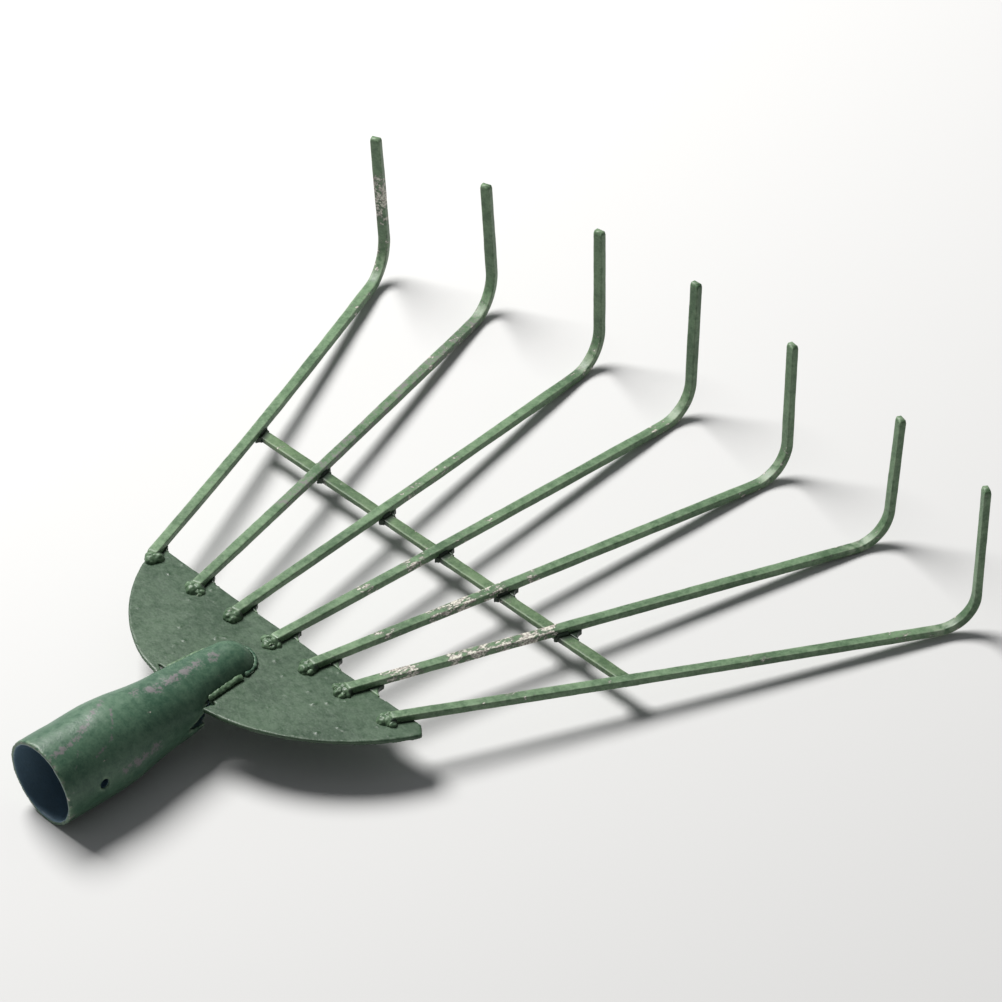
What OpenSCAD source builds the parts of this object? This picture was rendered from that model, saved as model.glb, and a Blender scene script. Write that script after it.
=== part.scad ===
// Welded fan rake head: a half-moon plate that carries a handle socket and seven
// flat-bar tines, tied together by a crossbar and bent up at right angles at their ends.
//
// Frame: origin at the middle of the socket's mouth, +Y along the socket towards the
// tines, +Z up with the head lying on its back, tines pointing up, +X to the right.

/* [Handle socket] */
// Outside diameter of the socket tube at its mouth
socket_d = 42; // [34:1:48]
// Wall thickness of the socket tube
socket_wall = 2; // [1.5:0.25:3]
// Length of the straight, full-size part of the socket
socket_straight = 30; // [20:1:40]
// Length over which the tube is necked down behind the plate
socket_neck = 44; // [38:1:50]
// Outside diameter of the tube once it is necked down
socket_front_d = 33; // [30:1:34]
// Outside diameter of the upper jaw where its nose starts to close
nose_d = 25.5; // [23:0.5:28]
// Diameter of the hole for the screw that keeps the handle in
screw_d = 5; // [3:0.5:6]
// Distance of the screw hole from the mouth
screw_y = 20; // [12:1:25]

/* [Plate] */
// Distance from the socket's mouth to the plate's straight edge
edge_y = 141.5; // [135:0.5:150]
// Radius of the plate's curved edge
plate_r = 102.5; // [98:0.5:106]
// Depth of the plate from its straight edge to its curved edge
plate_depth = 65; // [60:1:70]
// Thickness of the plate
plate_t = 2; // [1.5:0.25:3]
// How far the plate sits to the right of the socket's middle
plate_shift = 4.5; // [0:0.5:6]
// Slope of the plate and tines down from the socket, in degrees
fan_drop = 5; // [4:0.5:6]
// Angle that the plate is turned to the left of the socket, in degrees
fan_turn = 1.1; // [0:0.1:1.5]

/* [Tines] */
// Width of a tine's flat bar
tine_w = 5; // [4:0.5:6]
// Thickness of a tine's flat bar
tine_t = 3; // [2:0.5:4]
// Spacing of the tines along the plate's straight edge
root_pitch = 29; // [27:0.5:30]
// Angle from each tine to the next
fan_step = 8.6; // [8:0.1:9]
// Distance from the plate's edge to the corner of the bend
elbow_dist = 255; // [240:1:270]
// Length of the bent-up end, measured from the corner of the bend
tip_len = 73; // [60:1:85]
// Angle that the end is bent through
bend_angle = 90; // [85:1:95]
// Radius of the bend along the middle of the bar
bend_r = 18; // [12:1:22]
// How far a tine laps over the plate
root_lap = 9; // [6:0.5:12]

/* [Crossbar] */
// Width of the crossbar's strip
crossbar_w = 6; // [5:0.5:9]
// Thickness of the crossbar's strip
crossbar_t = 2.5; // [2:0.5:4]
// Distance from the plate's edge to the middle of the crossbar
crossbar_y = 92; // [80:1:100]
// Angle that the crossbar is out of square
crossbar_skew = -0.7; // [-2:0.1:2]

/* [Welds] */
// Radius of the weld lump at a tine's root
lump_r = 2.8; // [2.2:0.1:3.6]
// Radius of a weld bead round the socket
bead_r = 2.2; // [1.6:0.2:3]
// Radius of the tack weld beside a tine on the crossbar
tack_r = 1.2; // [0.8:0.2:1.6]
// Radius of the rounded corner between the plate and the right side of a tine
root_corner_r = 6; // [3:0.5:7]
// Radius of the rounded corner ahead of the crossbar at the right side of a tine
ahead_corner_r = 5.5; // [2:0.5:6]
// Radius of the other rounded corners where bars meet
corner_r = 2; // [1.5:0.5:3.5]

/* [Hidden] */

$fn = 64;
tine_count = 7;
middle_tine = 4;

// The tines were set and bent by hand, so each strays a little from the even fan.
root_stray = [-1.5, 2.5, 2.5, 2, 0, -3.5, -2];
angle_stray = [1.5, -0.5, 0.3, -1.2, -0.8, 0, 1.6];
elbow_stray = [-4, 3.5, -1.5, -2, -1, 6, 6.5];
tip_stray = [8, -1, 1, -1.5, -1.5, -7, 1.5];
bend_stray = [7, 5.5, 0.5, -2.5, -1.5, -4.5, -2];

function root_x(i) = (i - middle_tine) * root_pitch + root_stray[i - 1];
function fan_angle(i) = (i - middle_tine) * fan_step + angle_stray[i - 1];
function elbow_at(i) = elbow_dist + elbow_stray[i - 1];
function tip_at(i) = tip_len + tip_stray[i - 1];
function bend_at(i) = bend_angle + bend_stray[i - 1];

// Greens, from the paint in full light to the paint in the socket's shade
paint = [0.36, 0.46, 0.37];
dark_paint = [0.24, 0.34, 0.28];
weld_paint = [0.44, 0.54, 0.44];

// Socket outline, as distances along its axis from the mouth
neck_end = socket_straight + socket_neck;
nose_start = 107;
nose_len = 12.5;
mouth_r = socket_d / 2;
front_r = socket_front_d / 2;
nose_r = nose_d / 2;
neck_steps = 10;
nose_steps = 12;

// Where the tube's lower half ends, and where the plate sits between the jaws,
// both from the straight edge
jaw_back = -60;
slot_back = -57;
notch_w = 40;

// The tongue under the plate: where it starts inside the tube, and how it tapers and rises
jaw_start = -70;
jaw_len = 38;
jaw_step = 0.2;
jaw_tip_r = 9;
jaw_rise = 20;
jaw_axis_z = -6.5;
jaw_lap = 8;
jaw_end = jaw_start + jaw_len * cos(jaw_rise) + jaw_tip_r * sin(jaw_rise);

// The slit that opens between the jaws, as seen from the side: its root and how far it is
// open there, its upper lip where it reaches the plate, and its lower lip
slit_root = [70.5, -3.6];
slit_open = 1;
slit_top = [86, 3.2];
slit_low = [88, -8];

// The weld along the upper jaw's foot, and round its nose, where the ripples are set out
// by angle
foot_back = -56;
foot_front = -36;
nose_reach = 13.7;
nose_bead_first = 12;
nose_bead_last = 168;
nose_bead_step = 13;
bead_lift = 0.35;
under_bead_len = 12;

// The plate's clipped corner: how far out it starts, and its slope
clip_x = 88;
clip_slope = 38;

big = 200;
eps = 0.01;

// Puts a shape drawn on the plate's plane, with its straight edge along Y = 0,
// into the head's own frame
module on_fan() {
    rotate([0, 0, fan_turn])
        translate([0, edge_y, 0])
            rotate([-fan_drop, 0, 0])
                children();
}

// The same, but square to the socket instead of turned with the plate
module in_line_with_socket() {
    translate([0, edge_y, 0])
        rotate([-fan_drop, 0, 0])
            children();
}

// Puts a shape drawn along a straight tine, from the plate's edge, into the fan's plane
module along_tine(i) {
    translate([root_x(i), 0, 0])
        rotate([0, 0, -fan_angle(i)])
            children();
}

// Radius of the tube at a share u of the way along the neck, eased in and out
function ease(u) = (1 - cos(180 * u)) / 2;
function neck_r(u) = mouth_r + (front_r - mouth_r) * ease(u);

// Outline of the tube from mouth to nose, moved inwards by a wall thickness
function tube_outline(inset) = concat(
    [[mouth_r - inset, 0]],
    [for (k = [0:neck_steps])
        [neck_r(k / neck_steps) - inset, socket_straight + socket_neck * k / neck_steps]],
    [for (k = [0:nose_steps])
        let (a = 90 * k / nose_steps)
        [(nose_r - inset) * cos(a), nose_start + (nose_len - inset) * sin(a)]]
);

// The tube as a solid of revolution about +Y
module tube_solid(inset) {
    rotate([-90, 0, 0])
        rotate_extrude($fn = 96)
            polygon(concat([[0, 0]], tube_outline(inset)));
}

// Everything below the plate's top and ahead of a line square to the plate
module below_plate(from_y, top_z) {
    on_fan()
        translate([-big / 2, from_y, top_z - big])
            cube([big, big, big]);
}

// The tapered tube that the lower tongue is part of, moved inwards by a wall thickness
// and then run a hair past both ends
module jaw_cone(inset) {
    past = inset * eps;
    in_line_with_socket()
        translate([0, jaw_start, jaw_axis_z])
            rotate([jaw_rise - 90, 0, 0])
                translate([0, 0, -past])
                    cylinder(h = jaw_len + 2 * past, r1 = front_r - jaw_step - inset,
                             r2 = jaw_tip_r - inset, $fn = 96);
}

// The tongue under the plate, hammered up against its underside
module lower_jaw() {
    intersection() {
        difference() {
            jaw_cone(0);
            jaw_cone(socket_wall);
        }
        below_plate(jaw_back - jaw_lap, -plate_t);
    }
}

// The screw hole, through the right-hand wall only
module screw_hole() {
    translate([0, screw_y, 0])
        rotate([0, 90, 0])
            cylinder(h = socket_d, d = screw_d, $fn = 48);
}

module socket() {
    color(dark_paint)
        difference() {
            union() {
                difference() {
                    tube_solid(0);
                    tube_inside();
                    below_plate(jaw_back, 0);
                }
                lower_jaw();
            }
            slot_for_plate();
            side_slit();
            screw_hole();
        }
}

// The hollow of the tube
module tube_inside() {
    translate([0, -eps, 0])
        tube_solid(socket_wall);
}

// The saw cut that the plate slides into
module slot_for_plate() {
    on_fan()
        translate([-big / 2, slot_back, -plate_t])
            cube([big, big, plate_t]);
}

// The slit between the jaws, through both of the tube's sides
module side_slit() {
    rotate([90, 0, 90])
        linear_extrude(height = big, center = true)
            polygon([slit_root, slit_low, slit_top, slit_root + [0, slit_open]]);
}

// Half-moon: a circle cut by the straight edge, notched for the tube, with its right
// corner clipped off
module plate_outline() {
    difference() {
        intersection() {
            translate([plate_shift, plate_r - plate_depth])
                circle(r = plate_r, $fn = 180);
            translate([-big, -big])
                square([2 * big, big]);
        }
        translate([-notch_w / 2, slot_back - notch_w])
            square([notch_w, notch_w]);
        translate([plate_shift + clip_x, 0])
            rotate(-clip_slope)
                square(plate_r - clip_x + plate_shift);
    }
}

module plate() {
    color(paint)
        on_fan()
            translate([0, 0, -plate_t])
                linear_extrude(height = plate_t)
                    plate_outline();
}

// Where a line at x = from on the plate's edge, along tine i, crosses a line that runs
// beside the crossbar's middle at a distance of across
function crossing(i, from, across) =
    let (tilt = tan(crossbar_skew), lean = tan(fan_angle(i)))
    let (y = (crossbar_y + across / cos(crossbar_skew) + from * tilt) / (1 - lean * tilt))
    [from + y * lean, y];

// Everything outside the middle of an outer tine
module outside_of(i, side) {
    along_tine(i)
        translate([side * big / 2, crossbar_y, 0])
            cube([big, big, big], center = true);
}

// The strip runs under the tines and ends under the middle of the outer two
module crossbar() {
    color(paint)
        on_fan()
            difference() {
                translate([0, crossbar_y, -crossbar_t / 2])
                    rotate([0, 0, crossbar_skew])
                        cube([2 * big, crossbar_w, crossbar_t], center = true);
                outside_of(1, -1);
                outside_of(tine_count, 1);
            }
}

// Everything on the hollow side of a bent line: a disc in the bend and a block along each
// leg, each set in by a hair so that its edge crosses the disc's cleanly
module bent_block(bend, shaft, tip, r, deep) {
    circle(r = r, $fn = 96);
    translate([-shaft, eps - r])
        square([shaft, r + deep]);
    rotate(bend)
        translate([0, eps - r])
            square([tip, r + deep]);
}

// A flat bar seen from the side: a straight shaft, a round bend and a straight end, left
// over when the hollow side's block is cut from the outer side's
module tine_side(bend, elbow, tip) {
    past = 1;
    tangent = bend_r * tan(bend / 2);
    shaft = elbow - tangent + root_lap;
    outside_r = bend_r + tine_t / 2;
    translate([elbow - tangent, outside_r - eps])
        difference() {
            bent_block(bend, shaft, tip - tangent, outside_r, 0);
            bent_block(bend, shaft + past, tip - tangent + past, outside_r - tine_t, tip);
        }
}

module tine(i) {
    color(paint)
        on_fan()
            along_tine(i)
                translate([-tine_w / 2, 0, 0])
                    rotate([90, 0, 90])
                        linear_extrude(height = tine_w)
                            tine_side(bend_at(i), elbow_at(i), tip_at(i));
}

// The bar's own volume along its shaft, to trim welds against
module tine_shaft() {
    translate([-tine_w / 2, -root_lap, 0])
        cube([tine_w, elbow_dist / 2, tine_t]);
}

// Fills the corner between two edges that leave one point, with a round of radius r.
// a and b are the edges' directions in the plane, b turned left from a.
module corner_web(a, b, r, h) {
    half = (b - a) / 2;
    reach = r / tan(half);
    centre = r / sin(half) * [cos(a + half), sin(a + half)];
    linear_extrude(height = h)
        difference() {
            polygon([[0, 0], reach * [cos(a), sin(a)], centre, reach * [cos(b), sin(b)]]);
            translate(centre)
                circle(r = r, $fn = 48);
        }
}

// Where a tine's side face crosses the plate's edge
function side_x(i, side) = root_x(i) + side * tine_w / 2 / cos(fan_angle(i));

// Lumps of weld on the tine's square end. The first tine's sit inwards of it, clear of
// the plate's edge.
module root_lumps(i) {
    inwards = i == 1 ? lump_r / 2 : 0;
    back = lump_r / 6;
    sunk = lump_r / 10;
    along_tine(i)
        difference() {
            union() {
                for (side = [-1, 1])
                    translate([side * lump_r / 2 + inwards, -root_lap - back, 0])
                        sphere(r = lump_r, $fn = 40);
                translate([inwards, -root_lap - lump_r, -sunk])
                    sphere(r = lump_r, $fn = 40);
            }
            tine_shaft();
            translate([-big / 2, -big / 2, -big])
                cube([big, big, big]);
        }
}

// The lumps, with a rounded corner at each side where the tine leaves the plate, as thick
// as the plate and flush with it
module root_weld(i) {
    ahead = 90 - fan_angle(i);
    color(weld_paint)
        on_fan() {
            root_lumps(i);
            if (i > 1)
                translate([side_x(i, -1), 0, -plate_t])
                    corner_web(ahead, 180, corner_r, plate_t);
            if (i < tine_count)
                translate([side_x(i, 1), 0, -plate_t])
                    corner_web(0, ahead, root_corner_r, plate_t);
        }
}

// A rounded corner between a tine's side and one edge of the crossbar, as thick as the strip
module crossbar_corner(i, side, edge) {
    ahead = edge * 90 - fan_angle(i);
    outwards = side > 0 ? crossbar_skew : crossbar_skew + edge * 180;
    r = side > 0 && edge > 0 ? ahead_corner_r : corner_r;
    translate([0, 0, -crossbar_t])
        translate(crossing(i, side_x(i, side), edge * crossbar_w / 2))
            corner_web(min(ahead, outwards), max(ahead, outwards), r, crossbar_t);
}

// A bead along one side of the tine, on top of the crossbar
module crossbar_bead(i, side) {
    len = crossbar_w / cos(fan_angle(i)) - tack_r;
    translate(crossing(i, side_x(i, side), 0))
        rotate([0, 0, -fan_angle(i)])
            difference() {
                rotate([90, 0, 0])
                    cylinder(h = len, r = tack_r, center = true, $fn = 40);
                translate([side > 0 ? -big : 0, -big / 2, -big / 2])
                    cube([big, big, big]);
                translate([-big / 2, -big / 2, -big])
                    cube([big, big, big]);
            }
}

// The welds where a tine crosses the crossbar, on the sides where the strip goes on
module crossbar_weld(i) {
    color(weld_paint)
        on_fan()
            for (side = [-1, 1])
                if (i + side >= 1 && i + side <= tine_count) {
                    crossbar_bead(i, side);
                    crossbar_corner(i, side, 1);
                    crossbar_corner(i, side, -1);
                }
}

// What the welds round the socket are trimmed to: the tube and the plate
module trimmed_to_socket() {
    difference() {
        in_line_with_socket()
            children();
        tube_solid(0);
        below_plate(-big / 2, 0);
    }
}

// Radius of the upper jaw, and half its width where it stands on the plate, at a distance
// from the straight edge
function jaw_r(y) = front_r + (nose_r - front_r) * (y - neck_end) / (nose_start - neck_end);
function foot_x(s) =
    let (r = jaw_r(edge_y + s * cos(fan_drop)), rise = s * sin(fan_drop))
    sqrt(r * r - rise * rise);

// A bead of overlapping ripples along one foot of the upper jaw
module socket_side_weld(side) {
    ripples = 9;
    step = (foot_front - foot_back) / (ripples - 1);
    color(weld_paint)
        trimmed_to_socket()
            difference() {
                for (s = [foot_back:step:foot_front])
                    translate([side * foot_x(s), s, bead_lift])
                        sphere(r = bead_r + bead_lift, $fn = 32);
                translate([-big / 2, foot_front, -big / 2])
                    cube([big, big, big]);
            }
}

// A bead round the closed nose of the upper jaw
module socket_weld_nose() {
    color(weld_paint)
        trimmed_to_socket()
            difference() {
                for (a = [nose_bead_first:nose_bead_step:nose_bead_last])
                    translate([foot_x(foot_front) * cos(a), foot_front + nose_reach * sin(a), bead_lift])
                        sphere(r = bead_r, $fn = 32);
                translate([-big / 2, foot_front - big, -big / 2])
                    cube([big, big, big]);
            }
}

// A bead under the plate, where the lower tongue ends against it
module socket_weld_under() {
    color(weld_paint)
        difference() {
            in_line_with_socket()
                translate([0, jaw_end, -plate_t])
                    rotate([0, 90, 0])
                        cylinder(h = under_bead_len, r = bead_r + bead_lift, center = true, $fn = 40);
            on_fan()
                translate([-big / 2, -big / 2, -plate_t])
                    cube([big, big, big]);
            jaw_cone(0);
        }
}

socket();
plate();
crossbar();
tine(1);  // tine_1
tine(2);  // tine_2
tine(3);  // tine_3
tine(4);  // tine_4
tine(5);  // tine_5
tine(6);  // tine_6
tine(7);  // tine_7
root_weld(1);  // root_weld_1
root_weld(2);  // root_weld_2
root_weld(3);  // root_weld_3
root_weld(4);  // root_weld_4
root_weld(5);  // root_weld_5
root_weld(6);  // root_weld_6
root_weld(7);  // root_weld_7
crossbar_weld(1);  // crossbar_weld_1
crossbar_weld(2);  // crossbar_weld_2
crossbar_weld(3);  // crossbar_weld_3
crossbar_weld(4);  // crossbar_weld_4
crossbar_weld(5);  // crossbar_weld_5
crossbar_weld(6);  // crossbar_weld_6
crossbar_weld(7);  // crossbar_weld_7
socket_side_weld(-1);  // socket_weld_left
socket_side_weld(1);  // socket_weld_right
socket_weld_nose();
socket_weld_under();
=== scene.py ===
"""Looks of a welded fan rake head: seven flat-bar tines on a half-moon plate with a handle socket.

Lengths are in metres, unless a comment says millimetres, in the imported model's own frame:
the origin is the middle of the socket's mouth, +Y runs along the socket towards the tines,
and +Z is up.
"""

import math
import random

import bmesh
import bpy
import numpy as np
from mathutils import Matrix, Vector, noise


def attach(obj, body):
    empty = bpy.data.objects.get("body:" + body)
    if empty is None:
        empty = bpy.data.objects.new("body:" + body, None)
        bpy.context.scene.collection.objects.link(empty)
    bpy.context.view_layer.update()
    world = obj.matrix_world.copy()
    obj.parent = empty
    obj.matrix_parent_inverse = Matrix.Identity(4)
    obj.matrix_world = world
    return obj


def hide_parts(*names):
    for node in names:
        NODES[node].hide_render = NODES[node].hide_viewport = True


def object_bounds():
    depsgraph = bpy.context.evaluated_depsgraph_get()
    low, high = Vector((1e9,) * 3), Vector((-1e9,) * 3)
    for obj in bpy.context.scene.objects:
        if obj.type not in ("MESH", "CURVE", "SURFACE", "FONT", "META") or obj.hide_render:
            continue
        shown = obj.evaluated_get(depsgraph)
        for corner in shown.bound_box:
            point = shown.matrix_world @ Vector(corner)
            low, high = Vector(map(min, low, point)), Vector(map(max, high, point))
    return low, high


MM = 0.001
TINES = ["tine_%d" % i for i in range(1, 8)]

# As in the CAD: the radius of a tine's bend along its middle, and how far a tine laps over
# the plate.
BEND_RADIUS = 18 * MM
ROOT_LAP = 9 * MM

# Thickness of the paint on a tine, and the head's distance above the floor.
COAT = 0.12 * MM
FLOOR_GAP = 0.05 * MM

# Fineness of each kind of skin, the length of a bar between two of its rings, and the fewest
# vertices that a lump is kept with.
SHEET_VOXEL = 0.6 * MM
BEAD_VOXEL = 0.4 * MM
WEB_VOXEL = 0.2 * MM
RING_STEP = 1.5 * MM
FEWEST = 80

# Radii of a flat bar's upper and lower corners.
BAR_CORNERS = (0.6 * MM, 0.3 * MM)

# The tines were straightened by hand. For each, how far it bows to its right at mid shaft,
# and how far its bend stands off to its right, in millimetres.
BOWS = [(1.2, -1.0), (0.5, 0), (0.3, -0.4), (0.5, 0.1), (0.4, 0.1), (-0.2, 0.6), (0.4, 0)]

# Where the paint has chipped off each tine: from and to, in millimetres along the bar from
# the plate's straight edge, and how badly, from 0 to 1.
WORN = {
    1: [(205, 225, 0.45), (268, 300, 1.0)],
    2: [(190, 240, 0.55)],
    3: [(105, 150, 0.5)],
    4: [(38, 52, 0.7), (70, 84, 0.8), (100, 125, 0.4)],
    5: [(25, 38, 0.6), (52, 78, 1.0), (80, 97, 0.9), (105, 117, 0.7)],
    6: [(8, 28, 1.0), (40, 62, 1.0), (62, 97, 1.0)],
    7: [(40, 60, 0.4), (150, 175, 0.4)],
}

# Every tine is a little worn round its bend and rubbed pale where it starts to rise, from and
# to in the same millimetres.
BEND_WEAR = (224, 262, 0.4)
BEND_RUB = (240, 254, 2.0)

# The stretch of the second tine that has been rubbed brown.
BROWN_TINE = 2
BROWN_STRETCH = (60, 245, 0.8)

# Rubbed streaks on the socket: half-width in millimetres, then the run it follows, each
# place as (degrees round from +X, millimetres from the mouth).
STREAKS = [
    (2.6, [(64, 0), (70, 17), (82, 27), (106, 42)]),
    (1.0, [(38, 20), (48, 31), (86, 41)]),
    (4.5, [(94, 55), (80, 67), (86, 85), (82, 99)]),
    (3.5, [(4, 32), (4, 52)]),
    (0.7, [(56, 14), (38, 9)]),
]

# How far a bar's end faces are drawn in all round.
TINE_END_INSET = 0.3 * MM
CROSSBAR_END_INSET = 0.1 * MM

# Layers of roughness, each (depth, width of its bumps, seed). Numbered pieces and the socket's
# welds add their own seed to these.
TINE_ROUGHNESS = [(0.16 * MM, 22 * MM, 0), (0.07 * MM, 5 * MM, 20)]
CROSSBAR_ROUGHNESS = [(0.2 * MM, 16 * MM, 41), (0.1 * MM, 4 * MM, 42)]
PLATE_ROUGHNESS = [(0.3 * MM, 30 * MM, 51), (0.08 * MM, 5 * MM, 52)]
SOCKET_ROUGHNESS = [(0.35 * MM, 16 * MM, 61), (0.1 * MM, 5 * MM, 62)]
ROOT_WELD_ROUGHNESS = [(0.7 * MM, 3.5 * MM, 100), (0.35 * MM, 1.6 * MM, 110)]
CROSSBAR_WELD_ROUGHNESS = [(0.12 * MM, 3 * MM, 120)]
SOCKET_WELD_ROUGHNESS = [(0.5 * MM, 5 * MM, 0), (0.2 * MM, 1.5 * MM, 1)]

# Wear in patches: its level, how far it strays from that, the patches' size and a seed.
CROSSBAR_WEAR = (0.15, 0.4, 14 * MM, 43)
PLATE_WEAR = (-0.25, 0.4, 25 * MM, 54)

# The worn rim of the socket's mouth: where along the tube its wear starts to fade and where
# it is gone, and how badly the rim is worn.
RIM = (0.4 * MM, 2 * MM)
RIM_WEAR = 0.45

# Size of a rounded corner, for finding corners and creases on sheets and on welds.
SHEET_CORNER = 0.4 * MM
WELD_CORNER = 0.35 * MM

# How far the welds on the bars are swollen, and how far from a tine's root its lump is as
# rough as can be and how far it is rough at all.
ROOT_WELD_SWELL = 0.45 * MM
CROSSBAR_WELD_SWELL = 0.35 * MM
ROOT_LUMP_REACH = (6.5 * MM, 8 * MM)

# Beads of spatter on the plate: their size, height and seed, and the size of their clusters.
SPATTER_SIZE = 2.4 * MM
SPATTER_HEIGHT = 0.45 * MM
SPATTER_SEED = 53
SPATTER_CLUSTERS = 14 * MM

# The sides of the plate's notch: which side, how far out its wall is, and how far that is
# drawn in towards the tube. Then where along the head the notch ends, from and to.
NOTCH_SIDES = [(-1, 21.5 * MM, 4.3 * MM), (1, 18.5 * MM, 1.4 * MM)]
NOTCH_END = (82 * MM, 84 * MM)

# How far the socket's jaws lean to the left, and where along the head they start to lean and
# where they have leaned all the way.
LEAN = 1.5 * MM
LEAN_RUN = (75 * MM, 105 * MM)

# How far the painted shadow beside a tine's right face is at its darkest, and how far it fades out.
CROSSBAR_PAINTED_SHADOW = (3 * MM, 6 * MM)
CROSSBAR_WELD_PAINTED_SHADOW = (4 * MM, 7 * MM)
PLATE_PAINTED_SHADOW = (0.5 * MM, 2 * MM)
ROOT_WELD_PAINTED_SHADOW = (1 * MM, 4 * MM)

# The balls of metal spattered on a tine's square end: how many, how far to the side, back and
# down they lie, their radius and how flat they are. Distances and radii are in millimetres.
BALL_COUNT = 8
BALL_SIDE = 4.5
BALL_BACK = (-0.5, 4)
BALL_DOWN = (-1.8, -0.6)
BALL_RADIUS = (1.1, 1.9)
BALL_SQUASH = 0.8

# How many times each of the socket's welds is smoothed, which runs its ripples together, and
# its seed. Then how far the surface of all of them is drawn in.
SOCKET_WELDS = {"left": (14, 140), "right": (14, 142), "nose": (22, 144), "under": (4, 146)}
SOCKET_WELD_SHRINK = 0.25 * MM

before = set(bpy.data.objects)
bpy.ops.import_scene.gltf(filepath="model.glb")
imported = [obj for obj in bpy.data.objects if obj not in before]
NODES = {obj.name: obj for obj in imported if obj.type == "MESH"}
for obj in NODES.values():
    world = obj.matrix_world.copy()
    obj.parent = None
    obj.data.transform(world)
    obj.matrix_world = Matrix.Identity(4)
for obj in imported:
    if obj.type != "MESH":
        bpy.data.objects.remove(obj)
cad_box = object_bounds()


# ---------------------------------------------------------------- mesh tools


def corner_points(node):
    """The node's vertices as an array, each place listed once."""
    places = np.array([vertex.co[:] for vertex in NODES[node].data.vertices])
    return np.unique(places.round(6), axis=0)


def noise_at(points, size, seed):
    """Smooth noise from about -1 to 1 at each point; size is the width of its bumps."""
    shift = Vector((seed * 7.13, seed * 3.71, seed * 5.39))
    return np.array([noise.noise(Vector(point) / size + shift) for point in points])


def set_attribute(mesh, name, values):
    """Stores one number for each vertex, for a material to read."""
    layer = mesh.attributes.new(name, "FLOAT", "POINT")
    layer.data.foreach_set("value", np.asarray(values, np.float32))


def coordinates(mesh):
    flat = np.zeros(len(mesh.vertices) * 3, np.float32)
    mesh.vertices.foreach_get("co", flat)
    return flat.reshape(-1, 3).astype(float)


def normals(mesh):
    flat = np.zeros(len(mesh.vertices) * 3, np.float32)
    mesh.vertex_normals.foreach_get("vector", flat)
    return flat.reshape(-1, 3).astype(float)


def move_vertices(mesh, places):
    mesh.vertices.foreach_set("co", np.asarray(places, np.float32).ravel())
    mesh.update()


def smooth_shaded(mesh):
    mesh.polygons.foreach_set("use_smooth", [True] * len(mesh.polygons))


def neighbour_mean(mesh, values):
    """The mean of each vertex's neighbours' values."""
    edges = np.zeros(len(mesh.edges) * 2, np.int64)
    mesh.edges.foreach_get("vertices", edges)
    a, b = edges.reshape(-1, 2).T
    total = np.zeros_like(values)
    count = np.zeros(len(values))
    np.add.at(total, a, values[b])
    np.add.at(total, b, values[a])
    np.add.at(count, a, 1)
    np.add.at(count, b, 1)
    count = np.maximum(count, 1)
    return total / (count[:, None] if values.ndim == 2 else count)


def relax(mesh, passes):
    """Rounds the mesh off, without the shrinking that plain smoothing gives."""
    places = coordinates(mesh)
    for _ in range(passes):
        for strength in (0.5, -0.52):
            places = places + strength * (neighbour_mean(mesh, places) - places)
    move_vertices(mesh, places)


def mark_edges(mesh, reach):
    """Stores "edge", near 1 on outward corners, and "dent", near 1 in creases, where the paint is darkened
    as painted shade.

    reach is a corner's size.
    """
    places = coordinates(mesh)
    flat = places
    for _ in range(4):
        flat = neighbour_mean(mesh, flat)
    sharp = np.einsum("ij,ij->i", places - flat, normals(mesh)) / reach
    for name, side in (("edge", sharp), ("dent", -sharp)):
        amount = np.clip(side, 0, 1)
        for _ in range(2):
            amount = neighbour_mean(mesh, amount)
        set_attribute(mesh, name, np.clip(amount * 1.3, 0, 1))


def soften(mesh, passes):
    """Plain smoothing, which also melts ripples into one another."""
    places = coordinates(mesh)
    for _ in range(passes):
        places = places + 0.5 * (neighbour_mean(mesh, places) - places)
    move_vertices(mesh, places)


def swell(mesh, amount):
    """Moves the surface outwards, or inwards if amount is negative."""
    move_vertices(mesh, coordinates(mesh) + amount * normals(mesh))


def smooth_step(values, low, high):
    share = np.clip((values - low) / (high - low), 0, 1)
    return share * share * (3 - 2 * share)


def islands(skin):
    """The separate lumps of a bmesh, each as a list of vertices."""
    waiting = set(skin.verts)
    found = []
    while waiting:
        reached = [waiting.pop()]
        lump = []
        while reached:
            vertex = reached.pop()
            lump.append(vertex)
            for link in vertex.link_edges:
                other = link.other_vert(vertex)
                if other in waiting:
                    waiting.remove(other)
                    reached.append(other)
        found.append(lump)
    return found


def drop_crumbs(mesh):
    """Removes the stray lumps that are too small to be metal."""
    skin = bmesh.new()
    skin.from_mesh(mesh)
    crumbs = [vertex for lump in islands(skin) if len(lump) < FEWEST for vertex in lump]
    bmesh.ops.delete(skin, geom=crumbs, context="VERTS")
    skin.to_mesh(mesh)
    skin.free()


def remeshed(name, node, voxel, balls=()):
    """One closed skin, in even small faces, round a CAD node and extra balls of metal.

    balls are (centre, radius, squash), with squash along Z.
    """
    mould = bmesh.new()
    mould.from_mesh(NODES[node].data)
    bmesh.ops.remove_doubles(mould, verts=mould.verts, dist=1e-6)
    for centre, radius, squash in balls:
        size = Matrix.Diagonal((radius, radius, radius * squash, 1))
        place = Matrix.Translation(centre) @ size
        bmesh.ops.create_icosphere(mould, subdivisions=2, radius=1, matrix=place)
    rough = bpy.data.meshes.new(name + "_mould")
    mould.to_mesh(rough)
    mould.free()
    holder = bpy.data.objects.new(name + "_mould", rough)
    bpy.context.scene.collection.objects.link(holder)
    skin = holder.modifiers.new("skin", "REMESH")
    skin.mode = "VOXEL"
    skin.voxel_size = voxel
    graph = bpy.context.evaluated_depsgraph_get()
    mesh = bpy.data.meshes.new_from_object(holder.evaluated_get(graph))
    mesh.name = name
    mesh.materials.clear()
    bpy.data.objects.remove(holder)
    bpy.data.meshes.remove(rough)
    smooth_shaded(mesh)
    return mesh


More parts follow.
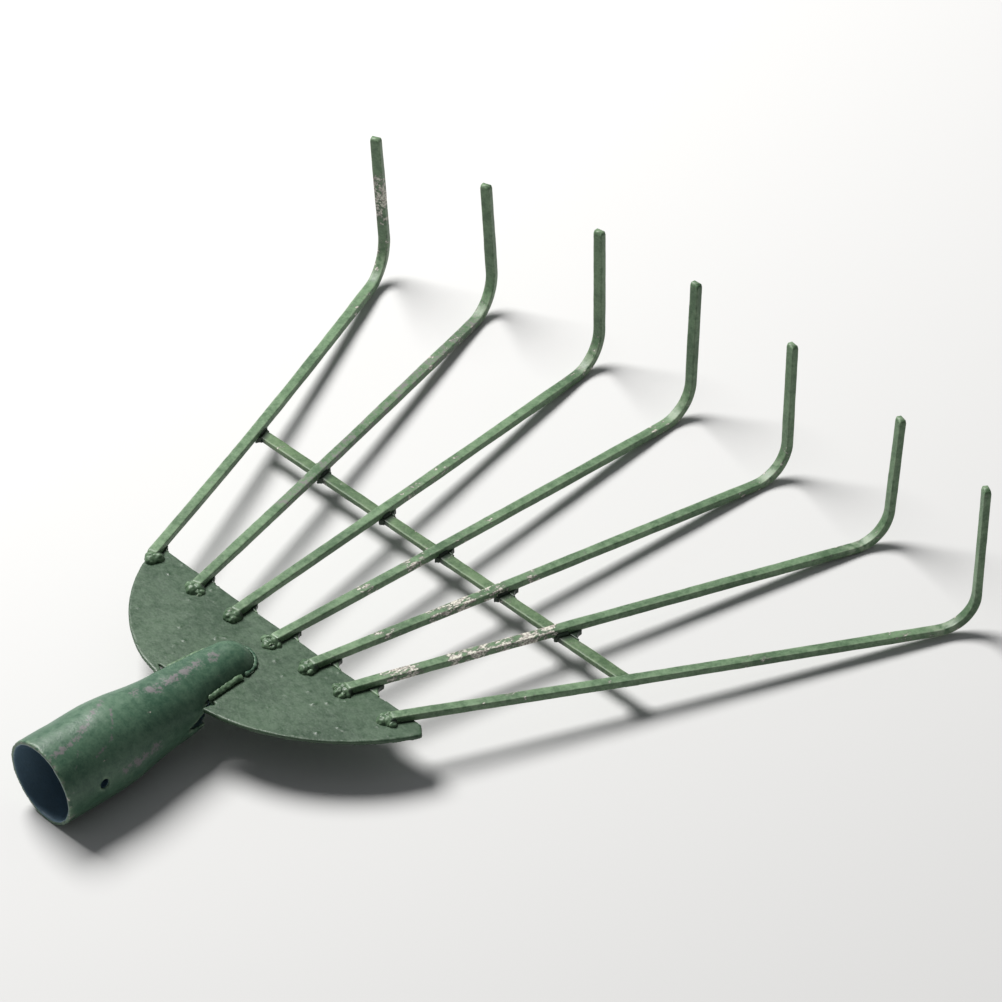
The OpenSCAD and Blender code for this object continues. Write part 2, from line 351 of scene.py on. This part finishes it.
def add_piece(name, mesh, material, slot, *nodes):
    """Puts a finished mesh in the scene as the piece that stands for these CAD nodes.

    Whatever would reach the floor that the head lies on is pressed flat just above it.
    """
    places = coordinates(mesh)
    places[:, 2] = np.maximum(places[:, 2], cad_box[0].z + FLOOR_GAP)
    move_vertices(mesh, places)
    mesh.materials.append(material)
    piece = bpy.data.objects.new(name, mesh)
    bpy.context.scene.collection.objects.link(piece)
    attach(piece, "root")
    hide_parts(*nodes)


# ---------------------------------------------------------------- flat bars


def section_corner(width, thickness, upper, lower, quarter):
    """The radius of one corner of a flat bar's section, and the middle of its round."""
    facing = (quarter + 0.5) * math.pi / 2
    radius = upper if math.sin(facing) > 0 else lower
    x = math.copysign(width / 2 - radius, math.cos(facing))
    z = math.copysign(thickness / 2 - radius, math.sin(facing))
    return radius, x, z


def bar_outline(width, thickness, upper, lower):
    """Points round a flat bar's section as (across, up, edge), edge being 1 on a corner.

    upper and lower are the radii of its corners.
    """
    ring = []
    for quarter in range(4):
        radius, centre_x, centre_z = section_corner(width, thickness, upper, lower, quarter)
        for step in range(4):
            angle = quarter * math.pi / 2 + step * math.pi / 6
            ring.append((centre_x + radius * math.cos(angle), centre_z + radius * math.sin(angle), 1.0))
        start = ring[-1]
        radius, centre_x, centre_z = section_corner(width, thickness, upper, lower, quarter + 1)
        angle = (quarter + 1) * math.pi / 2
        end = (centre_x + radius * math.cos(angle), centre_z + radius * math.sin(angle))
        for share in (0.2, 0.5, 0.8):
            x = start[0] + share * (end[0] - start[0])
            z = start[1] + share * (end[1] - start[1])
            ring.append((x, z, 0.0))
    return ring


def end_face(node, axis, sign):
    """The face at the node's end along an axis: its middle, long edge and short edge.

    sign is 1 for the end furthest along the axis, and -1 for the other.
    """
    places = corner_points(node)
    four = places[np.argsort(-sign * places[:, axis])[:4]]
    centre = four.mean(axis=0)
    first = four[0]
    others = sorted(four[1:], key=lambda p: np.linalg.norm(p - first))
    short = Vector(others[0] - first)
    long = Vector(others[1] - first)
    return Vector(centre), long, short


def bow_at(s, shaft, number):
    """How far tine number stands off to its right at distance s from its root."""
    middle, bend = BOWS[number - 1]
    share = min(s / shaft, 1)
    return (middle * math.sin(math.pi * share) + bend * share * share) * MM


def tine_path(node, number):
    """Rings of (centre, side, up, distance from the root) along a bent bar, and its size."""
    root, across, up = end_face(node, 1, -1)
    tip, tip_across, tip_up = end_face(node, 2, 1)
    along = across.cross(up).normalized()
    if along.y < 0:
        along = -along
    away = tip_across.cross(tip_up).normalized()
    if away.z < 0:
        away = -away
    width = across.length
    thickness = up.length
    bend = along.angle(away)
    axis = along.cross(away).normalized()
    gap = tip - root
    # Both legs lie in one plane, so their lines meet at the corner of the bend.
    spread = gap.cross(away).dot(axis) / along.cross(away).dot(axis)
    corner = root + along * spread
    tangent = BEND_RADIUS * math.tan(bend / 2)
    shaft = spread - tangent
    arc = BEND_RADIUS * bend
    tip_length = (tip - corner).length - tangent
    total = shaft + arc + tip_length
    steps = int(total / RING_STEP)
    rings = []
    for k in range(steps + 1):
        s = total * k / steps
        if s <= shaft:
            centre, heading = root + along * s, along
        elif s <= shaft + arc:
            turned = Matrix.Rotation((s - shaft) / BEND_RADIUS, 3, axis)
            start = root + along * shaft
            hub = start + axis.cross(along) * BEND_RADIUS
            centre, heading = hub + turned @ (start - hub), turned @ along
        else:
            start = corner + away * tangent
            centre, heading = start + away * (s - shaft - arc), away
        up = axis.cross(heading)
        side = heading.cross(up)
        rings.append((centre + side * bow_at(s, shaft, number), side, up, s))
    return rings, width, thickness


def bar_mesh(name, rings, outline, end_inset):
    """Sweeps an outline along rings of (centre, side, up, distance); the ends are drawn in."""
    count = len(outline)
    last = len(rings) - 1
    places, edges, along = [], [], []
    for k, (centre, side, up, s) in enumerate(rings):
        at_end = k in (0, last)
        inset = end_inset if at_end else 0
        for x, z, edge in outline:
            x -= math.copysign(min(inset, abs(x)), x)
            z -= math.copysign(min(inset, abs(z)), z)
            places.append(centre + side * x + up * z)
            edges.append(1.0 if at_end else edge)
            along.append(s)
    faces = []
    for k in range(last):
        for j in range(count):
            a = k * count + j
            b = k * count + (j + 1) % count
            faces.append((a, b, b + count, a + count))
    faces.append(tuple(reversed(range(count))))
    faces.append(tuple(last * count + j for j in range(count)))
    mesh = bpy.data.meshes.new(name)
    mesh.from_pydata([tuple(p) for p in places], [], faces)
    mesh.update()
    set_attribute(mesh, "edge", edges)
    smooth_shaded(mesh)
    return mesh, np.array(along)


def roughen(mesh, coats, own_seed=0, share=1.0):
    """Moves the surface in and out by layers of noise, each (depth, size, seed).

    own_seed is added to every layer's seed. share scales the movement, as one number or one
    for each vertex.
    """
    places = coordinates(mesh)
    outward = normals(mesh)
    shift = np.zeros(len(places))
    for depth, size, seed in coats:
        shift += depth * noise_at(places, size, seed + own_seed)
    move_vertices(mesh, places + outward * (shift * share)[:, None])


def worn_along(stretches, along):
    """How worn the paint is at each distance along a bar, from its stretches of wear."""
    from_edge = (along - ROOT_LAP) / MM
    worn = np.zeros(len(along))
    for start, end, strength in stretches:
        inside = smooth_step(from_edge, start - 3, start + 3) * smooth_step(-from_edge, -end - 3, -end + 3)
        worn = np.maximum(worn, strength * inside)
    return worn


def wear_in_patches(mesh, level, spread, size, seed):
    set_attribute(mesh, "wear", level + spread * noise_at(coordinates(mesh), size, seed))


def add_painted_shadow(mesh, numbers, near, far):
    """Darkens "dent" with painted shadow beside the right face of these tines, where a tine shades the
    surface: fully to near, and fading to far.
    """
    places = coordinates(mesh)
    dark = np.zeros(len(places))
    if "dent" in mesh.attributes:
        mesh.attributes["dent"].data.foreach_get("value", dark)
        mesh.attributes.remove(mesh.attributes["dent"])
    for number in numbers:
        rings, width, _ = tine_path(TINES[number - 1], number)
        centre, side, up, _ = rings[0]
        offset = places - np.array(centre)
        beside = offset @ np.array(side) - width / 2
        ahead = offset @ np.array(up.cross(side))
        shade = smooth_step(beside, -0.8 * MM, -0.2 * MM) * (1 - smooth_step(beside, near, far))
        dark = np.maximum(dark, shade * smooth_step(ahead, -1 * MM, 1 * MM))
    set_attribute(mesh, "dent", dark)


def make_tine(number, material):
    node = TINES[number - 1]
    rings, width, thickness = tine_path(node, number)
    outline = bar_outline(width + 2 * COAT, thickness + 2 * COAT, *BAR_CORNERS)
    mesh, along = bar_mesh(node + "_bar", rings, outline, TINE_END_INSET)
    roughen(mesh, TINE_ROUGHNESS, number)
    set_attribute(mesh, "wear", worn_along(WORN[number] + [BEND_WEAR], along))
    set_attribute(mesh, "pale", worn_along([BEND_RUB], along))
    if number == BROWN_TINE:
        set_attribute(mesh, "rub", worn_along([BROWN_STRETCH], along))
    add_piece(node + "_bar", mesh, material, "tine_paint", node)


def cut_end(places, sign):
    """Middle, half the long edge and half the short edge of the strip's end at -X or +X."""
    four = sorted(places[np.argsort(-sign * places[:, 0])[:4]].tolist(), key=lambda p: p[1])
    near, far = [sorted(pair, key=lambda p: p[2]) for pair in (four[:2], four[2:])]
    near_low, near_high, far_low, far_high = [Vector(p) for p in near + far]
    middle = (near_low + near_high + far_low + far_high) / 4
    long_half = (near_low + near_high - far_low - far_high) / 4
    short_half = (near_high - near_low) / 2
    return middle, long_half, short_half


def make_crossbar(material):
    """A flat strip between two slanted end faces."""
    places = corner_points("crossbar")
    left = cut_end(places, -1)
    right = cut_end(places, 1)
    thickness = 2 * left[2].length
    width = (2 * left[1]).length
    total = (right[0] - left[0]).length
    steps = int(total / RING_STEP)
    rings = []
    for k in range(steps + 1):
        middle, long_half, short_half = [a.lerp(b, k / steps) for a, b in zip(left, right)]
        rings.append((middle, long_half / (width / 2), short_half / (thickness / 2), total * k / steps))
    outline = bar_outline(width, thickness, *BAR_CORNERS)
    mesh, _ = bar_mesh("crossbar_strip", rings, outline, CROSSBAR_END_INSET)
    roughen(mesh, CROSSBAR_ROUGHNESS)
    wear_in_patches(mesh, *CROSSBAR_WEAR)
    # Painted shadow of the tines beside their right faces.
    add_painted_shadow(mesh, range(1, 7), *CROSSBAR_PAINTED_SHADOW)
    add_piece("crossbar_strip", mesh, material, "crossbar_paint", "crossbar")


# ---------------------------------------------------------------- plate, socket and welds


def spatter(mesh):
    """Raises small beads of weld metal that landed on the upper side."""
    places = coordinates(mesh)
    outward = normals(mesh)
    lift = smooth_step(noise_at(places, SPATTER_SIZE, SPATTER_SEED), 0.42, 0.75) * SPATTER_HEIGHT
    lift *= smooth_step(noise_at(places, SPATTER_CLUSTERS, SPATTER_SEED + 1), -0.3, 0.3)
    lift *= outward[:, 2] > 0.7
    move_vertices(mesh, places + outward * lift[:, None])


def draw_in_notch(mesh):
    """Draws the sides of the plate's notch in towards the tube, so that it hardly shows."""
    places = coordinates(mesh)
    behind = 1 - smooth_step(places[:, 1], *NOTCH_END)
    for side, wall, gap in NOTCH_SIDES:
        outwards = side * places[:, 0] - wall
        beside = smooth_step(outwards, -1.5 * MM, -1 * MM) * (1 - smooth_step(outwards, 0, 12 * MM))
        places[:, 0] -= side * gap * beside * behind
    move_vertices(mesh, places)


def make_plate(material):
    mesh = remeshed("plate_sheet", "plate", SHEET_VOXEL)
    relax(mesh, 3)
    mark_edges(mesh, SHEET_CORNER)
    draw_in_notch(mesh)
    roughen(mesh, PLATE_ROUGHNESS)
    spatter(mesh)
    wear_in_patches(mesh, *PLATE_WEAR)
    # Painted shadow of the tines beside their right faces.
    add_painted_shadow(mesh, range(1, 8), *PLATE_PAINTED_SHADOW)
    add_piece("plate_sheet", mesh, material, "plate_paint", "plate")


def lean(mesh):
    """Leans the socket's jaws, or a weld on them, a little to the left."""
    places = coordinates(mesh)
    places[:, 0] -= LEAN * smooth_step(places[:, 1], *LEAN_RUN)
    move_vertices(mesh, places)


def streak_marks(places):
    """How rubbed the socket is at each place: 1 along the middle of a streak."""
    around = np.degrees(np.arctan2(places[:, 2], places[:, 0]))
    radius = np.hypot(places[:, 0], places[:, 2])
    flat = np.column_stack((np.radians(around) * radius, places[:, 1]))
    rubbed = np.zeros(len(places))
    for half_width, run in STREAKS:
        for (turn_a, y_a), (turn_b, y_b) in zip(run, run[1:]):
            a = np.column_stack((math.radians(turn_a) * radius, np.full(len(places), y_a * MM)))
            b = np.column_stack((math.radians(turn_b) * radius, np.full(len(places), y_b * MM)))
            leg = b - a
            share = np.clip(((flat - a) * leg).sum(axis=1) / (leg * leg).sum(axis=1), 0, 1)
            distance = np.linalg.norm(flat - a - leg * share[:, None], axis=1)
            rubbed = np.maximum(rubbed, 1 - smooth_step(distance, 0, half_width * MM * 1.6))
    return rubbed


def make_socket(material):
    mesh = remeshed("socket_tube", "socket", SHEET_VOXEL)
    relax(mesh, 4)
    mark_edges(mesh, SHEET_CORNER)
    places = coordinates(mesh)
    radial = places * (1, 0, 1)
    radial /= np.linalg.norm(radial, axis=1)[:, None]
    facing = np.einsum("ij,ij->i", normals(mesh), radial)
    # Faces turned towards the bore's axis, which the socket's paint turns to a dark blue-grey painted
    # shade.
    set_attribute(mesh, "inside", smooth_step(-facing, 0, 0.6))
    set_attribute(mesh, "rub", streak_marks(places) * (facing > 0.2))
    rim = 1 - smooth_step(places[:, 1], *RIM)
    set_attribute(mesh, "wear", RIM_WEAR * rim * (facing > -0.2))
    roughen(mesh, SOCKET_ROUGHNESS)
    lean(mesh)
    add_piece("socket_tube", mesh, material, "socket_paint", "socket")


def root_spatter(number):
    """Small balls of metal heaped on a tine's square end, as (centre, radius, squash)."""
    (centre, side, up, _), (ahead, _, _, _) = tine_path(TINES[number - 1], number)[0][:2]
    back = (centre - ahead).normalized()
    pick = random.Random(number)
    # The first tine's end is beside the plate's edge, so its metal all lies inwards.
    leftmost = -BALL_SIDE if number > 1 else 0
    balls = []
    for _ in range(BALL_COUNT):
        place = centre + side * pick.uniform(leftmost, BALL_SIDE) * MM
        place += back * pick.uniform(*BALL_BACK) * MM
        place += up * pick.uniform(*BALL_DOWN) * MM
        balls.append((place, pick.uniform(*BALL_RADIUS) * MM, BALL_SQUASH))
    return balls


def make_root_weld(number, material):
    node = "root_weld_%d" % number
    mesh = remeshed(node + "_bead", node, WEB_VOXEL, root_spatter(number))
    drop_crumbs(mesh)
    relax(mesh, 2)
    swell(mesh, ROOT_WELD_SWELL)
    root = np.array(tine_path(TINES[number - 1], number)[0][0][0])
    distance = np.linalg.norm(coordinates(mesh) - root, axis=1)
    roughen(mesh, ROOT_WELD_ROUGHNESS, number, 1 - smooth_step(distance, *ROOT_LUMP_REACH))
    mark_edges(mesh, WELD_CORNER)
    # Painted shadow of this tine beside its right face.
    add_painted_shadow(mesh, [number], *ROOT_WELD_PAINTED_SHADOW)
    add_piece(node + "_bead", mesh, material, "weld_paint", node)


def make_crossbar_weld(number, material):
    node = "crossbar_weld_%d" % number
    mesh = remeshed(node + "_bead", node, WEB_VOXEL)
    drop_crumbs(mesh)
    relax(mesh, 2)
    swell(mesh, CROSSBAR_WELD_SWELL)
    roughen(mesh, CROSSBAR_WELD_ROUGHNESS, number)
    mark_edges(mesh, WELD_CORNER)
    # Painted shadow of this tine beside its right face.
    add_painted_shadow(mesh, [number], *CROSSBAR_WELD_PAINTED_SHADOW)
    add_piece(node + "_bead", mesh, material, "weld_paint", node)


def make_socket_weld(place, material):
    """One of the socket's beads, its ripples run together and its surface drawn in."""
    melting, seed = SOCKET_WELDS[place]
    node = "socket_weld_" + place
    mesh = remeshed(node + "_bead", node, BEAD_VOXEL)
    soften(mesh, melting)
    swell(mesh, -SOCKET_WELD_SHRINK)
    roughen(mesh, SOCKET_WELD_ROUGHNESS, seed)
    lean(mesh)
    mark_edges(mesh, SHEET_CORNER)
    add_piece(node + "_bead", mesh, material, "weld_paint", node)


# ---------------------------------------------------------------- materials


UNDERCOAT = (0.13, 0.12, 0.115, 1)
STAINED = (0.30, 0.265, 0.245, 1)
BARE = (0.60, 0.59, 0.51, 1)
RUBBED = (0.175, 0.145, 0.165, 1)
# Dark blue-grey painted shade for the inside of the socket's bore.
BORE_PAINTED_SHADE = (0.118, 0.190, 0.250, 1)
# Near-black painted shade for creases and for the shadow beside each tine's right face.
PAINTED_SHADE_COLOUR = (0.010, 0.018, 0.013, 1)

# Sizes of the paint's patterns: broad clouds, mottling, fine grain, clusters of chips, the
# flecks that chip off, which are longest along the head, and the ripples of the brush.
CLOUDS = 28 * MM
MOTTLING = 3.2 * MM
GRAIN = 1.0 * MM
CLUSTERS = 6 * MM
FLECKS = 2.4 * MM
FLECK_STRETCH = (1.7, 0.55, 1.7)
RIPPLES = 1.6 * MM

# Between which values of its noise each change in the paint begins and is complete.
TONE = (0.36, 0.64)
PALING = (0.35, 0.6)
RUBBING = (0.60, 0.72)
LIFTING = (0.62, 0.68)
CHIPPED = (0.665, 0.715)
STAINING = (0.42, 0.58)

# How much of each colour shows through, the near-black painted shade in creases and beside the tines among
# them, and how much wear adds to chipping.
PAINTED_SHADE_SHARE = 0.88
RUBBED_SHARE = 0.75
UNDERCOAT_SHARE = 0.55
CHIPPING = 0.18


class Nodes:
    """One material's nodes. Sizes are in metres, in the model's own frame."""

    def __init__(self, name):
        self.material = bpy.data.materials.new(name)
        self.material.use_nodes = True
        self.tree = self.material.node_tree
        self.shader = self.tree.nodes["Principled BSDF"]
        self.place = self.add("TexCoord", {}).outputs["Object"]

    def put(self, socket, value):
        """Links a node's output to a socket, or sets the socket to a plain value."""
        if isinstance(value, bpy.types.NodeSocket):
            self.tree.links.new(value, socket)
        else:
            socket.default_value = value

    def add(self, kind, inputs, **settings):
        node = self.tree.nodes.new("ShaderNode" + kind)
        for name, value in settings.items():
            setattr(node, name, value)
        for key, value in inputs.items():
            self.put(node.inputs[key], value)
        return node

    def noise(self, size, detail=3, stretch=(1, 1, 1)):
        """Noise from 0 to 1, with bumps of about this size."""
        place = self.add("Mapping", {"Vector": self.place, "Scale": stretch}).outputs[0]
        return self.add("TexNoise", {"Vector": place, "Scale": 1 / size, "Detail": detail}).outputs[0]

    def attribute(self, name):
        """A number stored on the mesh, or 0 where the mesh has none of this name."""
        return self.add("Attribute", {}, attribute_name=name).outputs["Fac"]

    def maths(self, operation, a, b):
        return self.add("Math", {0: a, 1: b}, operation=operation).outputs[0]

    def weighted(self, *pairs):
        """The sum of outputs, each times its weight."""
        total = 0
        for output, weight in pairs:
            total = self.maths("ADD", total, self.maths("MULTIPLY", output, weight))
        return total

    def step(self, value, low, high):
        """0 below low, 1 above high, and smooth between."""
        inputs = {"Value": value, "From Min": low, "From Max": high}
        return self.add("MapRange", inputs, interpolation_type="SMOOTHSTEP").outputs[0]

    def mix(self, share, a, b):
        """The colour a, turning into the colour b as share goes from 0 to 1."""
        node = self.add("Mix", {0: share, 6: a, 7: b}, data_type="RGBA")
        return node.outputs[2]


def whole_paint(n, mottle, grain, deep, light, worn, edge_tint):
    """The colour of whole paint: mottled, paler on corners, and darkened with painted shade in creases and
    beside the tines.
    """
    clouds = n.noise(CLOUDS)
    tone = n.step(n.weighted((clouds, 0.4), (mottle, 0.3), (grain, 0.3)), *TONE)
    colour = n.mix(tone, deep, light)
    exposed = n.weighted((n.attribute("edge"), 1), (n.attribute("pale"), 1))
    paling = n.maths("MULTIPLY", n.step(mottle, *PALING), exposed)
    colour = n.mix(n.maths("MULTIPLY", paling, edge_tint), colour, worn)
    return n.mix(n.maths("MULTIPLY", n.attribute("dent"), PAINTED_SHADE_SHARE), colour, PAINTED_SHADE_COLOUR)


def rubbed_paint(n, colour, mottle, grain):
    """The colour, browned where the paint has been rubbed."""
    rubbed = n.step(n.weighted((n.attribute("rub"), 0.22), (mottle, 0.5), (grain, 0.4)), *RUBBING)
    return n.mix(n.maths("MULTIPLY", rubbed, RUBBED_SHARE), colour, RUBBED)


def chipped_paint(n, colour, grain, clusters):
    """The colour with chips down to the metal, and how fully each place is chipped."""
    flecks = n.noise(FLECKS, 3, FLECK_STRETCH)
    wear = n.attribute("wear")
    edge = n.attribute("edge")
    lifted = n.weighted((flecks, 0.5), (clusters, 0.35), (grain, 0.15), (wear, CHIPPING), (edge, 0.02))
    chips = n.step(lifted, *CHIPPED)
    colour = n.mix(n.maths("MULTIPLY", n.step(lifted, *LIFTING), UNDERCOAT_SHARE), colour, UNDERCOAT)
    metal = n.mix(n.step(grain, *STAINING), STAINED, BARE)
    return n.mix(chips, colour, metal), chips


def enamel(name, deep, light, worn, edge_tint):
    """Brushed-on enamel: mottled, rubbed pale on corners, chipped to the metal where worn."""
    n = Nodes(name)
    mottle = n.noise(MOTTLING, 4)
    grain = n.noise(GRAIN, 4)
    clusters = n.noise(CLUSTERS, 2)
    ripples = n.noise(RIPPLES, 2)
    colour = whole_paint(n, mottle, grain, deep, light, worn, edge_tint)
    colour = rubbed_paint(n, colour, mottle, grain)
    colour, chips = chipped_paint(n, colour, grain, clusters)
    # Inside the socket's bore the colour turns to a dark blue-grey painted shade.
    colour = n.mix(n.attribute("inside"), colour, BORE_PAINTED_SHADE)
    n.put(n.shader.inputs["Base Color"], colour)
    n.put(n.shader.inputs["Specular IOR Level"], 0.3)
    n.put(n.shader.inputs["Roughness"], n.weighted((mottle, 0.35), (chips, 0.2), (1, 0.24)))
    height = n.weighted((ripples, 0.5), (grain, 0.35), (chips, -0.5), (clusters, 0.4))
    bump = n.add("Bump", {"Height": height, "Strength": 0.7, "Distance": 0.25 * MM})
    n.put(n.shader.inputs["Normal"], bump.outputs["Normal"])
    return n.material


def tine_enamel():
    deep, light = (0.066, 0.122, 0.064, 1), (0.166, 0.262, 0.150, 1)
    return enamel("tine_enamel", deep, light, (0.25, 0.32, 0.22, 1), edge_tint=0.3)


def crossbar_enamel():
    deep, light = (0.053, 0.100, 0.048, 1), (0.133, 0.208, 0.108, 1)
    return enamel("crossbar_enamel", deep, light, (0.24, 0.28, 0.18, 1), edge_tint=0.15)


def plate_enamel():
    deep, light = (0.030, 0.060, 0.034, 1), (0.066, 0.112, 0.068, 1)
    return enamel("plate_enamel", deep, light, (0.20, 0.26, 0.18, 1), edge_tint=0.12)


def socket_enamel():
    deep, light = (0.036, 0.088, 0.055, 1), (0.075, 0.148, 0.094, 1)
    return enamel("socket_enamel", deep, light, (0.26, 0.36, 0.24, 1), edge_tint=0.8)


def weld_enamel():
    deep, light = (0.045, 0.086, 0.046, 1), (0.110, 0.185, 0.104, 1)
    return enamel("weld_enamel", deep, light, (0.30, 0.42, 0.27, 1), edge_tint=0.7)


# ---------------------------------------------------------------- the scene


def make_camera():
    azimuth, elevation, roll = math.radians(52.17), math.radians(38.71), math.radians(4.99)
    distance = 2.821
    target = Vector((-0.0156, 0.2804, -0.0120))
    flat = math.cos(elevation)
    back = Vector((math.sin(azimuth) * flat, -math.cos(azimuth) * flat, math.sin(elevation)))
    right = Vector((0, 0, 1)).cross(back).normalized()
    up = back.cross(right)
    tilted_right = math.cos(roll) * right - math.sin(roll) * up
    tilted_up = math.sin(roll) * right + math.cos(roll) * up
    lens = bpy.data.cameras.new("camera")
    lens.sensor_width = 36
    lens.lens = 218.7
    lens.clip_end = 50
    camera = bpy.data.objects.new("camera", lens)
    place = Matrix((tilted_right, tilted_up, back)).transposed().to_4x4()
    place.translation = target + back * distance
    camera.matrix_world = place
    bpy.context.scene.collection.objects.link(camera)
    bpy.context.scene.camera = camera


def make_floor():
    bottom = cad_box[0].z
    mesh = bpy.data.meshes.new("floor")
    half = 12
    corners = [(-half, -half, bottom), (half, -half, bottom), (half, half, bottom), (-half, half, bottom)]
    mesh.from_pydata(corners, [], [(0, 1, 2, 3)])
    material = bpy.data.materials.new("floor_card")
    material.use_nodes = True
    shader = material.node_tree.nodes["Principled BSDF"]
    shader.inputs["Base Color"].default_value = (0.60, 0.60, 0.60, 1)
    shader.inputs["Roughness"].default_value = 0.9
    mesh.materials.append(material)
    floor = bpy.data.objects.new("floor", mesh)
    bpy.context.scene.collection.objects.link(floor)


def area_light(name, place, aim, size, power, colour):
    lamp = bpy.data.lights.new(name, "AREA")
    lamp.shape = "DISK"
    lamp.size = size
    lamp.energy = power
    lamp.color = colour
    light = bpy.data.objects.new(name, lamp)
    light.location = place
    light.rotation_mode = "QUATERNION"
    light.rotation_quaternion = (Vector(aim) - Vector(place)).to_track_quat("-Z", "Y")
    bpy.context.scene.collection.objects.link(light)


def make_lights():
    middle = (0, 0.2, 0)
    colour = (1, 0.99, 0.97)
    area_light("key", place=(-1.5, 0.35, 2.0), aim=middle, size=1.3, power=112, colour=colour)
    world = bpy.data.worlds.new("studio")
    world.use_nodes = True
    sky = world.node_tree.nodes["Background"]
    sky.inputs["Color"].default_value = (0.95, 0.97, 1, 1)
    sky.inputs["Strength"].default_value = 0.17
    bpy.context.scene.world = world
    bpy.context.scene.view_settings.view_transform = "Standard"


tine_coat = tine_enamel()
weld_coat = weld_enamel()
make_camera()
make_floor()
make_lights()
for number in range(1, 8):
    make_tine(number, tine_coat)
    make_root_weld(number, weld_coat)
    make_crossbar_weld(number, weld_coat)
make_crossbar(crossbar_enamel())
make_plate(plate_enamel())
socket_coat = socket_enamel()
make_socket(socket_coat)
make_socket_weld("left", weld_coat)
make_socket_weld("right", weld_coat)
make_socket_weld("nose", socket_coat)
make_socket_weld("under", weld_coat)
